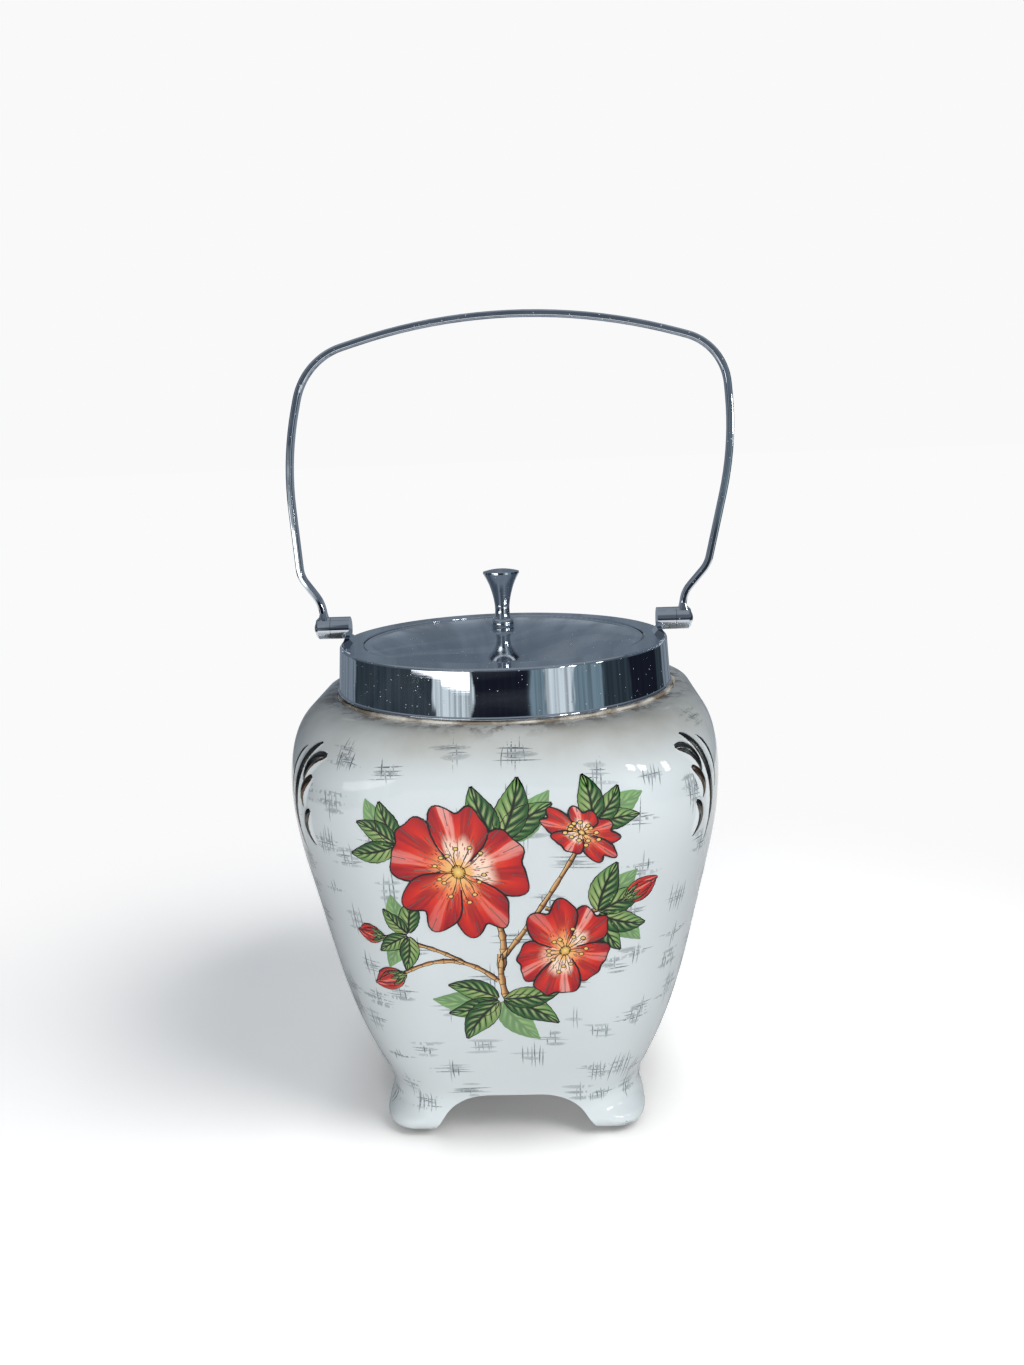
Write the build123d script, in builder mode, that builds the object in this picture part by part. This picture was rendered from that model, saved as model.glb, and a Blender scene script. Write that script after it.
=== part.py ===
from build123d import *
from math import radians, tan
import os

# Biscuit jar: a slip-cast earthenware pot on four feet, with a chromed mount
# bedded on its neck in plaster, a drop-in lid and a swing handle riveted to two
# lugs.  Millimetres.  The origin is on the table under the jar's axis, +Z is up
# and the handle swings about X.

# ---------------------------------------------------------------- the pot
# The pot is lofted through rounded squares.  Each named section has its rise
# above the one before, half its width across the flats, and half the length of
# the flat, so that the corner radius is what is left.
sole_half, sole_flat = 36.5, 28.5
foot_rise, foot_half, foot_flat = 4.8, 43.6, 32.0
ankle_rise, ankle_half, ankle_flat = 6.4, 42.6, 22.5
shin_rise, shin_half, shin_flat = 11.8, 46.0, 23.0
calf_rise, calf_half, calf_flat = 23.0, 54.4, 24.0
belly_rise, belly_half, belly_flat = 40.0, 62.9, 27.0
shoulder_rise, shoulder_half, shoulder_flat = 39.8, 67.6, 29.0
turn_rise, turn_half, turn_flat = 12.4, 66.1, 21.0
root_rise, root_half, root_flat = 6.4, 53.5, 3.0
neck_rise = 11.0  # the plain round neck above the shoulder's root
neck_radius = 51.5
pot_wall = 4.5
rim_fillet = 1.6
hollow_fillet = 9.0  # where the inside wall turns into the floor
stations = 37  # sections of the loft, evenly spaced along the outline
skipped_stations = 4  # the lowest of them, under the pot's floor, that the hollow leaves out

arch_height = 15.5  # clear height under the pot between two feet
arch_top_half = 18.0
arch_foot_half = 29.0
arch_fillet = 18.0
toe_fillet = 4.0  # rounding of each foot towards its arch

# -------------------------------------------------------------- the mount
sheet = 0.8  # pressed brass of the collar
plaster_line = 0.9  # bed that shows between the shoulder and the collar
plaster_spread = 0.7  # how far it squeezes out past the band
band_height = 15.5
band_top_radius = 55.0
band_foot_radius = 56.2
lip_radius = 0.7  # wired edge at the band's foot
collar_fillet = 0.9
seat_radius = 47.4  # recess that the lid drops into
seat_depth = 1.2
throat_radius = 42.5  # inside of the tube that guides the lid
throat_depth = 9.0
throat_fillet = 1.2

# ---------------------------------------------------------------- the lid
lid_play = 0.4  # radial
lid_sheet = 0.9
lid_rim = 2.5  # flat that rests on the seat
lid_rise = 3.9  # dome over the flat
skirt_sheet = 0.8
skirt_depth = 6.0
knob_height = 19.5
knob_top_radius = 6.05
knob_crown = 0.9
knob_rim = 0.6
knob_waist_radius = 2.5
knob_waist_rise = 4.6
knob_bead_radius = 3.9
knob_flare_radius = 3.55  # halfway up the trumpet
knob_flare_rise = 12.4
knob_foot_radius = 3.5  # what stands on the lid, under the bead
knob_neck_spread = 0.35  # how much wider than the waist the stem is where it meets the bead
knob_bead_height = 2.8
screw_radius = 1.4
screw_bite = 6.0
screw_head_radius = 2.7
screw_head_height = 1.9
screw_slot = 0.8
washer_radius = 5.0
washer_thickness = 0.8
hole_play = 0.3

# ----------------------------------------------------------- lugs and bail
barrel_radius = 3.75
axis_rise = 4.7  # hinge axis over the collar's flange
lug_inset = 3.1  # the lug plate's inner face, in from the band's upper edge
lug_plate = 1.5
lug_barrel = 4.8
lug_foot_spread = 1.6
lug_foot_half = 4.4
lug_waist_half = 2.7
knuckle_length = 5.0
knuckle_gap = 0.12
knuckle_chamfer = 0.8
knuckle_neck_length, knuckle_neck_width = 3.6, 5.4  # its foot on the barrel
knuckle_neck_rise = 5.2  # where the strip is brazed on, above the hinge axis
pin_radius = 1.25
pin_play = 0.05
pin_head_radius = 2.2
pin_head_height = 0.8

strip_thickness = 2.0
strip_width = 4.4
strip_edge = 0.6
bail_lean = 0.08  # the bent handle leans to one side by this much of its height
# Bends of half the handle: rise over the hinge axis, distance outwards from the
# strip's foot, and the shares of the straight runs below and above that its arc
# takes up.
neck_bend_rise, neck_bend_out, neck_bend_shares = 8.8, 0.5, (0.8, 0.3)
ogee_rise, ogee_out, ogee_shares = 17.8, 7.5, (0.22, 0.3)
side_rise, side_out, side_shares = 56.4, 12.5, (0.45, 0.5)
corner_rise, corner_out, corner_shares = 87.8, 6.8, (0.42, 0.18)
crown_rise, crown_shares = 107.0, (0.78, 0.78)

# ------------------------------------------------------------ derived sizes
foot_z = foot_rise
ankle_z = foot_z + ankle_rise
shin_z = ankle_z + shin_rise
calf_z = shin_z + calf_rise
belly_z = calf_z + belly_rise
shoulder_z = belly_z + shoulder_rise
turn_z = shoulder_z + turn_rise
root_z = turn_z + root_rise
rim_z = root_z + neck_rise
floor_z = arch_height + pot_wall
bore_radius = neck_radius - pot_wall
band_foot_z = root_z + plaster_line
flange_z = band_foot_z + band_height
seat_z = flange_z - seat_depth
axis_z = flange_z + axis_rise
lid_radius = seat_radius - lid_play
lid_top_z = seat_z + lid_sheet + lid_rise
dome_foot = lid_radius - lid_rim
dome_radius = (dome_foot**2 + lid_rise**2) / (2 * lid_rise)
skirt_radius = throat_radius - lid_play
lug_inner = band_top_radius - lug_inset
lug_face = lug_inner + lug_plate
knuckle_inner = lug_face + lug_barrel + knuckle_gap
knuckle_outer = knuckle_inner + knuckle_length
strip_x = (knuckle_inner + knuckle_outer) / 2


def dome_z(radius):
    """Height of the lid's upper face at a distance from the jar's axis."""
    return lid_top_z - dome_radius + (dome_radius**2 - radius**2) ** 0.5


# ------------------------------------------------------------------ jar_body
# One curve carries the outline up the middle of a side: X is half the width
# across the flats, Y half the length of the flat, Z the height.
with BuildLine() as outline:
    Spline(
        (sole_half, sole_flat, 0),
        (foot_half, foot_flat, foot_z),
        (ankle_half, ankle_flat, ankle_z),
        (shin_half, shin_flat, shin_z),
        (calf_half, calf_flat, calf_z),
        (belly_half, belly_flat, belly_z),
        (shoulder_half, shoulder_flat, shoulder_z),
        (turn_half, turn_flat, turn_z),
        (root_half, root_flat, root_z),
    )
curve = outline.line
steps = [i / (stations - 1) for i in range(stations)]
outer_sections = [(p.X, p.Y, p.Z) for p in (curve @ t for t in steps)]
# Inside, each section moves in square to the outline by the wall.
inner_sections = []
for t in steps[skipped_stations:]:
    p, along = curve @ t, curve % t
    run = (along.X**2 + along.Z**2) ** 0.5
    inner_sections.append(
        (p.X - pot_wall * along.Z / run, p.Y, p.Z + pot_wall * along.X / run)
    )

with BuildPart() as pot_hollow:
    for half, flat, height in inner_sections:
        with BuildSketch(Plane.XY.offset(height)):
            RectangleRounded(2 * half, 2 * half, half - flat)
    loft()
    split(bisect_by=Plane.XY.offset(floor_z), keep=Keep.TOP)
    fillet(pot_hollow.faces().sort_by(Axis.Z)[0].edges(), hollow_fillet)
    with BuildSketch(Plane.XY.offset(shoulder_z)):
        Circle(bore_radius)
    extrude(amount=rim_z - shoulder_z)

with BuildPart() as jar_body:
    for half, flat, height in outer_sections:
        with BuildSketch(Plane.XY.offset(height)):
            RectangleRounded(2 * half, 2 * half, half - flat)
    loft()
    with BuildSketch(Plane.XY.offset(root_z)):
        Circle(neck_radius)
    extrude(amount=neck_rise)
    add(pot_hollow.part, mode=Mode.SUBTRACT)
    fillet(jar_body.edges().group_by(Axis.Z)[-1], rim_fillet)
    # Two crossed arches leave a foot under each corner.
    for across in (Plane.XZ, Plane.YZ):
        with BuildSketch(across):
            with BuildLine():
                FilletPolyline(
                    (-shoulder_half, -arch_height),
                    (-shoulder_half, 0),
                    (-arch_foot_half, 0),
                    (-arch_top_half, arch_height),
                    (arch_top_half, arch_height),
                    (arch_foot_half, 0),
                    (shoulder_half, 0),
                    (shoulder_half, -arch_height),
                    radius=[0, 0, toe_fillet, arch_fillet, arch_fillet, toe_fillet, 0, 0],
                    close=True,
                )
            make_face()
        extrude(amount=shoulder_half, both=True, mode=Mode.SUBTRACT)
jar_body.part.label = "jar_body"

# -------------------------------------------------------------------- collar
# Spun brass: a wired lip, the flared band, the flange, the recess that the lid
# sits in, and a throat tube that guides it.
with BuildPart() as collar:
    with BuildSketch(Plane.XZ):
        with BuildLine():
            FilletPolyline(
                (band_foot_radius, band_foot_z),
                (band_top_radius, flange_z),
                (seat_radius, flange_z),
                (seat_radius, seat_z),
                (throat_radius, seat_z),
                (throat_radius, seat_z - throat_depth),
                radius=[collar_fillet, sheet / 2, 0, throat_fillet],
            )
            offset(amount=sheet, side=Side.LEFT)
        make_face()
        with Locations((band_foot_radius - lip_radius / 2, band_foot_z + lip_radius)):
            Circle(lip_radius)
    revolve()
collar.part.label = "collar"

# ----------------------------------------------------------- bedding_plaster
# Plaster fills the mount round the neck and shows as a thin cream line where it
# squeezed out on the shoulder.
with BuildPart() as bedding_plaster:
    with BuildSketch(Plane.XZ):
        with BuildLine():
            Polyline(
                (band_foot_radius + plaster_spread, root_z - plaster_line),
                (band_foot_radius + plaster_spread, band_foot_z - plaster_line / 3),
                (band_foot_radius, band_foot_z),
                (band_top_radius - sheet / 2, flange_z - collar_fillet),
                (band_top_radius - collar_fillet, flange_z - sheet / 2),
                (neck_radius, flange_z - sheet / 2),
                (bore_radius + rim_fillet, rim_z),
                (bore_radius + rim_fillet, root_z - plaster_line),
                close=True,
            )
        make_face()
    revolve()
    add(jar_body.part, mode=Mode.SUBTRACT)
    add(collar.part, mode=Mode.SUBTRACT)
bedding_plaster.part.label = "bedding_plaster"

# ------------------------------------------------------------------ lid pieces
with BuildPart() as lid_plate:
    with BuildSketch(Plane.XZ):
        with BuildLine():
            TangentArc((0, lid_top_z), (dome_foot, seat_z + lid_sheet), tangent=(1, 0))
            FilletPolyline(
                (dome_foot, seat_z + lid_sheet),
                (lid_radius, seat_z + lid_sheet),
                (lid_radius, seat_z),
                (dome_foot, seat_z),
                radius=lid_sheet / 3,
            )
            TangentArc((0, lid_top_z - lid_sheet), (dome_foot, seat_z), tangent=(1, 0))
            Line((0, lid_top_z - lid_sheet), (0, lid_top_z))
        make_face()
    revolve()
    with Locations((0, 0, lid_top_z)):
        Hole(screw_radius + hole_play)
lid_plate.part.label = "lid_plate"

# The skirt is soldered up inside the dome and drops into the throat.
with BuildPart() as lid_skirt:
    with BuildSketch(Plane.XY.offset(seat_z - skirt_depth)):
        Circle(skirt_radius)
        Circle(skirt_radius - skirt_sheet, mode=Mode.SUBTRACT)
    extrude(amount=skirt_depth + dome_z(skirt_radius) - lid_sheet / 2 - seat_z)
    add(lid_plate.part, mode=Mode.SUBTRACT)
lid_skirt.part.label = "lid_skirt"

# Turned knob: a bead at the foot, a waist, a trumpet and a crowned top.
knob_z = lid_top_z - lid_sheet / 2
knob_top_z = lid_top_z + knob_height
with BuildPart() as knob:
    with BuildSketch(Plane.XZ):
        with BuildLine():
            waist = (knob_waist_radius, lid_top_z + knob_waist_rise)
            shoulder = (knob_top_radius, knob_top_z - knob_crown - knob_rim)
            foot_line = Line((0, knob_z), (knob_foot_radius, knob_z))
            Spline(
                foot_line @ 1,
                (knob_bead_radius, lid_top_z + knob_bead_height / 2),
                (knob_waist_radius + knob_neck_spread, lid_top_z + knob_bead_height),
                tangents=[(0.6, 1), (-1, 0.25)],
            )
            Spline(
                (knob_waist_radius + knob_neck_spread, lid_top_z + knob_bead_height),
                waist,
                (knob_flare_radius, lid_top_z + knob_flare_rise),
                shoulder,
                tangents=[(-0.3, 1), (0.6, 1)],
            )
            Line(shoulder, (knob_top_radius, knob_top_z - knob_crown))
            TangentArc(
                (0, knob_top_z), (knob_top_radius, knob_top_z - knob_crown), tangent=(1, 0)
            )
            Line((0, knob_top_z), (0, knob_z))
        make_face()
    revolve()
    add(lid_plate.part, mode=Mode.SUBTRACT)
    with Locations((0, 0, knob_z)):
        Cylinder(
            screw_radius,
            screw_bite + lid_sheet / 2,
            align=(Align.CENTER, Align.CENTER, Align.MIN),
            mode=Mode.SUBTRACT,
        )
knob.part.label = "knob"

washer_z = lid_top_z - lid_sheet - washer_thickness
with BuildPart() as knob_washer:
    with BuildSketch(Plane.XY.offset(washer_z)):
        Circle(washer_radius)
        Circle(screw_radius + hole_play, mode=Mode.SUBTRACT)
    extrude(amount=washer_thickness + lid_sheet / 2)
    add(lid_plate.part, mode=Mode.SUBTRACT)
knob_washer.part.label = "knob_washer"

with BuildPart() as knob_screw:
    with BuildSketch(Plane.XY.offset(washer_z)):
        Circle(screw_radius)
    extrude(amount=lid_top_z + screw_bite - washer_z)
    with BuildSketch(Plane.XY.offset(washer_z)):
        Circle(screw_head_radius)
    extrude(amount=-screw_head_height)
    fillet(knob_screw.edges().group_by(Axis.Z)[0], screw_head_height / 2)
    with BuildSketch(Plane.XY.offset(washer_z - screw_head_height)):
        Rectangle(2 * screw_head_radius, screw_slot)
    extrude(amount=screw_head_height / 2, mode=Mode.SUBTRACT)
knob_screw.part.label = "knob_screw"

# --------------------------------------------------------------------- hinges
# The right-hand pieces are modelled and the left-hand ones are their mirrors.
# Each lug is a plate with a barrel on its outside, pinched at the waist and
# spread again where it is soldered over the edge of the collar.
with BuildPart() as right_lug:
    with BuildSketch(Plane.YZ.offset(lug_inner)):
        with BuildLine():
            Polyline(
                (-lug_foot_half, flange_z - sheet / 2),
                (-lug_foot_half, flange_z),
                (-lug_waist_half, flange_z + lug_foot_spread),
                (-lug_waist_half, axis_z),
                (lug_waist_half, axis_z),
                (lug_waist_half, flange_z + lug_foot_spread),
                (lug_foot_half, flange_z),
                (lug_foot_half, flange_z - sheet / 2),
                close=True,
            )
        make_face()
        with Locations((0, axis_z)):
            Circle(barrel_radius)
    extrude(amount=lug_plate)
    with BuildSketch(Plane.XZ):
        with BuildLine():
            Polyline(
                (lug_inner - lug_foot_spread, flange_z - sheet / 2),
                (lug_inner, flange_z + lug_foot_spread),
                (lug_face, flange_z + lug_foot_spread),
                (band_top_radius - sheet / 2, flange_z - collar_fillet),
                (band_top_radius - collar_fillet, flange_z - sheet / 2),
                close=True,
            )
        make_face()
    extrude(amount=lug_foot_half, both=True)
    with BuildSketch(Plane.YZ.offset(lug_face)):
        with Locations((0, axis_z)):
            Circle(barrel_radius)
    extrude(amount=lug_barrel)
    with Locations(Location((lug_inner, 0, axis_z), (0, 90, 0))):
        Cylinder(
            pin_radius,
            lug_plate + lug_barrel,
            align=(Align.CENTER, Align.CENTER, Align.MIN),
            mode=Mode.SUBTRACT,
        )
    add(collar.part, mode=Mode.SUBTRACT)
right_lug.part.label = "right_lug"

with BuildPart() as left_lug:
    mirror(right_lug.part, about=Plane.YZ)
left_lug.part.label = "left_lug"

# ----------------------------------------------------------------------- bail
# The handle is one strip bent to a three-centred arch on two ogee shanks.  It
# has been leant to one side, more the higher it goes.
def leant(x, rise):
    """A point of the strip, leant over in proportion to its height."""
    return (x + bail_lean * (rise - neck_bend_rise), axis_z + rise)


def arc_radius(below, bend, above, shares):
    """Radius of the arc at a bend that takes up its shares of the runs on both sides."""
    run_in, run_out = Vector(bend) - Vector(below), Vector(above) - Vector(bend)
    reach = min(shares[0] * run_in.length, shares[1] * run_out.length)
    return reach / tan(radians(run_in.get_angle(run_out)) / 2)


bends = [
    (strip_x + neck_bend_out, neck_bend_rise),
    (strip_x + ogee_out, ogee_rise),
    (strip_x + side_out, side_rise),
    (strip_x + corner_out, corner_rise),
]
shares = [neck_bend_shares, ogee_shares, side_shares, corner_shares]
route = [
    (strip_x, axis_z + knuckle_neck_rise),
    *[leant(x, rise) for x, rise in bends],
    leant(0, crown_rise),
    *[leant(-x, rise) for x, rise in reversed(bends)],
    (-strip_x, axis_z + knuckle_neck_rise),
]
# On the left the handle is met from above, so each pair of shares is turned round.
route_shares = [*shares, crown_shares, *[share[::-1] for share in reversed(shares)]]
with BuildLine(Plane.XZ) as bail_path:
    FilletPolyline(
        *route,
        radius=[
            arc_radius(*corner, share)
            for *corner, share in zip(route, route[1:], route[2:], route_shares)
        ],
    )
# The plane where the strip meets the right-hand knuckle, X across its width.
strip_end = Plane(bail_path.line @ 0, x_dir=(0, 1, 0), z_dir=bail_path.line % 0)

with BuildPart() as bail_handle:
    with BuildSketch(strip_end):
        Rectangle(strip_width, strip_thickness)
        fillet(vertices(), strip_edge)
    sweep(path=bail_path.line)
bail_handle.part.label = "bail_handle"

# The knuckle turns on the pin.  Its neck tapers from the barrel to the size of the
# strip that is brazed on it.
with BuildPart() as right_bail_knuckle:
    with BuildSketch(Plane.YZ.offset(knuckle_inner)):
        with Locations((0, axis_z)):
            Circle(barrel_radius)
    extrude(amount=knuckle_length)
    chamfer(right_bail_knuckle.faces().sort_by(Axis.X)[-1].edges(), knuckle_chamfer)
    with BuildSketch(Plane.XY.offset(axis_z + pin_radius + pin_play)):
        with Locations((strip_x, 0)):
            RectangleRounded(knuckle_neck_length, knuckle_neck_width, strip_edge)
    with BuildSketch(strip_end):
        RectangleRounded(strip_width, strip_thickness, strip_edge)
    loft()
    with Locations(Location((knuckle_inner, 0, axis_z), (0, 90, 0))):
        Cylinder(
            pin_radius + pin_play,
            knuckle_length,
            align=(Align.CENTER, Align.CENTER, Align.MIN),
            mode=Mode.SUBTRACT,
        )
right_bail_knuckle.part.label = "right_bail_knuckle"

with BuildPart() as left_bail_knuckle:
    mirror(right_bail_knuckle.part, about=Plane.YZ)
left_bail_knuckle.part.label = "left_bail_knuckle"

# The rivet is fast in the lug; its peened head keeps the knuckle on.
with BuildPart() as right_hinge_pin:
    with BuildSketch(Plane.XZ):
        with BuildLine():
            head_x = knuckle_outer + pin_play
            Polyline(
                (lug_inner, axis_z),
                (lug_inner, axis_z + pin_radius),
                (head_x, axis_z + pin_radius),
                (head_x, axis_z + pin_head_radius),
            )
            TangentArc(
                (head_x + pin_head_height, axis_z),
                (head_x, axis_z + pin_head_radius),
                tangent=(0, 1),
            )
            Line((head_x + pin_head_height, axis_z), (lug_inner, axis_z))
        make_face()
    revolve(axis=Axis((0, 0, axis_z), (1, 0, 0)))
right_hinge_pin.part.label = "right_hinge_pin"

with BuildPart() as left_hinge_pin:
    mirror(right_hinge_pin.part, about=Plane.YZ)
left_hinge_pin.part.label = "left_hinge_pin"

os.makedirs("parts", exist_ok=True)
for piece in (
    jar_body,
    bedding_plaster,
    collar,
    left_lug,
    right_lug,
    left_hinge_pin,
    right_hinge_pin,
    bail_handle,
    left_bail_knuckle,
    right_bail_knuckle,
    lid_plate,
    lid_skirt,
    knob,
    knob_washer,
    knob_screw,
):
    export_step(piece.part, f"parts/{piece.part.label}.step")
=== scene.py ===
import math

import bpy
import numpy as np
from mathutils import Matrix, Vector


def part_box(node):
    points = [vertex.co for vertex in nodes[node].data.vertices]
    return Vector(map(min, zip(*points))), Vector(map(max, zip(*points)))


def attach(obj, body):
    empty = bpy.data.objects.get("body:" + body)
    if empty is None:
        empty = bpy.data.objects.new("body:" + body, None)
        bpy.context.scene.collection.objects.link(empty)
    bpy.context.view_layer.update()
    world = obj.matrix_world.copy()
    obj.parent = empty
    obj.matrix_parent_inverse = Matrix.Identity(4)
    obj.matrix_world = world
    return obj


# A biscuit jar: glazed earthenware with a printed spray of roses, hatched ground and
# lustred corners, under a chromed mount with a swing handle.  Metres, in the frame's
# axes: +Z up, the decorated front towards -Y.  Drawn decoration is in millimetres, and
# the scales of noises and cells are per metre.
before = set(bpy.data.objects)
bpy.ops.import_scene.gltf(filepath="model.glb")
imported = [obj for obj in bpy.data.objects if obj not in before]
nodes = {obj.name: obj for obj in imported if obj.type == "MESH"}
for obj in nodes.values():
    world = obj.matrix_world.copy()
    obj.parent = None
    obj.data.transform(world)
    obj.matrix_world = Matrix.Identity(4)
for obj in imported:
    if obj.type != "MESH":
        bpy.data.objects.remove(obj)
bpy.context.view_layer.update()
MM = 0.001
random = np.random.default_rng(1935)


# ------------------------------------------------------------------ small tools
def linear(code):
    """Linear RGBA of an sRGB hex colour."""
    parts = [int(code[i : i + 2], 16) / 255 for i in (1, 3, 5)]
    return (*[p / 12.92 if p <= 0.04045 else ((p + 0.055) / 1.055) ** 2.4 for p in parts], 1)


def node(tree, kind, *values, out=0, stops=(), **named):
    """Adds one node with its settings and links, and gives one of its outputs.

    Values go to its inputs in order.  A name is a setting if it is in small letters, or
    else an input, with _ for a space.  A socket is linked and a hex colour made linear.
    A colour ramp starts with two stops, which take the first and the last of those given.
    """
    made = tree.nodes.new("ShaderNode" + kind)
    for name in [name for name in named if name.islower()]:
        setattr(made, name, named.pop(name))
    by_name = [(made.inputs[name.replace("_", " ")], value) for name, value in named.items()]
    for socket, value in [*zip(made.inputs, values), *by_name]:
        if isinstance(value, bpy.types.NodeSocket):
            tree.links.new(value, socket)
        else:
            socket.default_value = linear(value) if isinstance(value, str) else value
    for i, (place, code) in enumerate([*stops[:1], *stops[-1:], *stops[1:-1]]):
        band = made.color_ramp.elements
        stop = band[i] if i < 2 else band.new(place)
        stop.position, stop.color = place, linear(code)
    return made.outputs[out] if made.outputs else made


# Settings that many nodes share.
SMOOTH = {"interpolation_type": "SMOOTHSTEP"}
PRODUCT = {"operation": "MULTIPLY"}
BLEND = {"data_type": "RGBA", "out": "Result"}


def new_material(name):
    """An empty material and its node tree."""
    made = bpy.data.materials.new(name)
    made.use_nodes = True
    made.node_tree.nodes.clear()
    return made, made.node_tree


def dress(material, *names):
    """Gives CAD nodes their material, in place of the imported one."""
    for name in names:
        slots = nodes[name].data.materials
        slots.clear()
        slots.append(material)


# --------------------------------------------------------------- metal and plaster
def chrome_plate(name, sharpest, dullest, wiped):
    """Bright chromium on nickel over pressed brass, decades old.

    A dark, sharp mirror with polishing lines drawn out along it, pale pin-holes where
    the plating has pitted, a bloom that dulls it in patches, and the pale haze that
    wiping leaves in curved marks.  The first two shares are its roughness where it is
    clean and under the bloom, and the last is how much of the mirror the haze takes.
    """
    made, tree = new_material(name)
    where = node(tree, "TexCoord", out="Object")
    # The bloom lies in patches 14 mm across.
    bloom = node(tree, "TexNoise", where, Scale=70.0, Detail=4.0)
    dull = node(tree, "MapRange", bloom, 0.42, 0.75, sharpest, dullest, **SMOOTH)
    # Wiping marks 10 mm wide, six times as long, on a plane that a noise bends.
    bent = node(tree, "TexNoise", where, Scale=12.0, Detail=1.0, out="Color")
    swept = node(tree, "VectorMath", bent, (0.12, 0.12, 0.0), where, operation="MULTIPLY_ADD")
    swept = node(tree, "Mapping", swept, Rotation=(0, 0, 0.6), Scale=(17, 100, 17))
    marks = node(tree, "TexNoise", swept, Scale=1.0, Detail=6.0)
    haze = node(tree, "MapRange", marks, 0.45, 0.7, 0.0, wiped, **SMOOTH)
    # Pin-holes about 0.35 mm across in 1.6 mm cells, more of them in worn patches.
    near = node(tree, "TexVoronoi", where, Scale=1 / (1.6 * MM), out="Distance")
    spot = node(tree, "MapRange", near, 0.08, 0.14, 1.0, 0.0, **SMOOTH)
    worn = node(tree, "TexNoise", where, Scale=38.0, Detail=1.0)
    limit = node(tree, "MapRange", worn, 0.38, 0.56, 0.62, 0.3)
    chosen = node(tree, "Math", near.node.outputs["Color"], limit, operation="GREATER_THAN")
    pit = node(tree, "Math", chosen, spot, **PRODUCT)
    # Polishing lines 0.15 mm apart, on a sheet that swells by 22 mm waves.
    drawn = node(tree, "Mapping", where, Scale=(40, 40, 1 / (0.15 * MM)))
    lines = node(tree, "TexNoise", drawn, Scale=1.0)
    swell = node(tree, "TexNoise", where, Scale=45.0, Detail=1.0)
    bump = node(tree, "Bump", Strength=0.04, Distance=0.02 * MM, Height=lines)
    bump = node(tree, "Bump", Strength=0.1, Distance=0.2 * MM, Height=swell, Normal=bump)
    shader = node(
        tree,
        "BsdfPrincipled",
        Base_Color=node(tree, "Mix", Factor=pit, A="#ccd2da", B="#f8f8f4", **BLEND),
        Metallic=node(tree, "Math", 1.0, haze, operation="SUBTRACT"),
        Roughness=node(tree, "Math", pit, dull, operation="MAXIMUM"),
        Normal=bump,
    )
    node(tree, "OutputMaterial", shader)
    return made


def turned_brass():
    """Bare yellow brass of the knob's screw and washer, gone brown in spots of 2.5 mm."""
    made, tree = new_material("turned_brass")
    where = node(tree, "TexCoord", out="Object")
    tarnish = node(tree, "TexNoise", where, Scale=400.0, Detail=3.0)
    shader = node(
        tree,
        "BsdfPrincipled",
        Base_Color=node(tree, "Mix", Factor=tarnish, A="#c9a65a", B="#8c6a35", **BLEND),
        Metallic=1.0,
        Roughness=node(tree, "MapRange", tarnish, 0.3, 0.7, 0.2, 0.4),
    )
    node(tree, "OutputMaterial", shader)
    return made


def plaster_of_paris():
    """Set plaster, smoothed off by thumb: matt cream, brown where tea and dust got in.

    The stains are about 8 mm long and the grain 0.6 mm, coarse enough to show.
    """
    made, tree = new_material("plaster_of_paris")
    where = node(tree, "TexCoord", out="Object")
    stain = node(tree, "TexNoise", where, Scale=130.0, Detail=5.0)
    dirt = node(tree, "MapRange", stain, 0.4, 0.62, **SMOOTH)
    grain = node(tree, "TexNoise", where, Scale=1 / (0.6 * MM))
    shader = node(
        tree,
        "BsdfPrincipled",
        Base_Color=node(tree, "Mix", Factor=dirt, A="#d2cdc3", B="#857a6c", **BLEND),
        Roughness=0.9,
        Normal=node(tree, "Bump", Strength=0.8, Distance=0.3 * MM, Height=grain),
    )
    node(tree, "OutputMaterial", shader)
    return made


# -------------------------------------------------------- glaze and what is under it
COLLAR_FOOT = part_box("collar")[0][2]
COLLAR_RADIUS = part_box("collar")[1][0]
WARE, WARE_CLOUDED = "#d9e0e2", "#ced6d9"
GREYING_DOWN = 17 * MM  # how far down from the mount's foot the shoulder is greyed
STAIN_DOWN, STAIN_OUT = 8 * MM, 9 * MM  # and the stain, down and outwards
NECK_MARGIN = 2 * MM  # what is further inside the mount than this is clean


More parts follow.
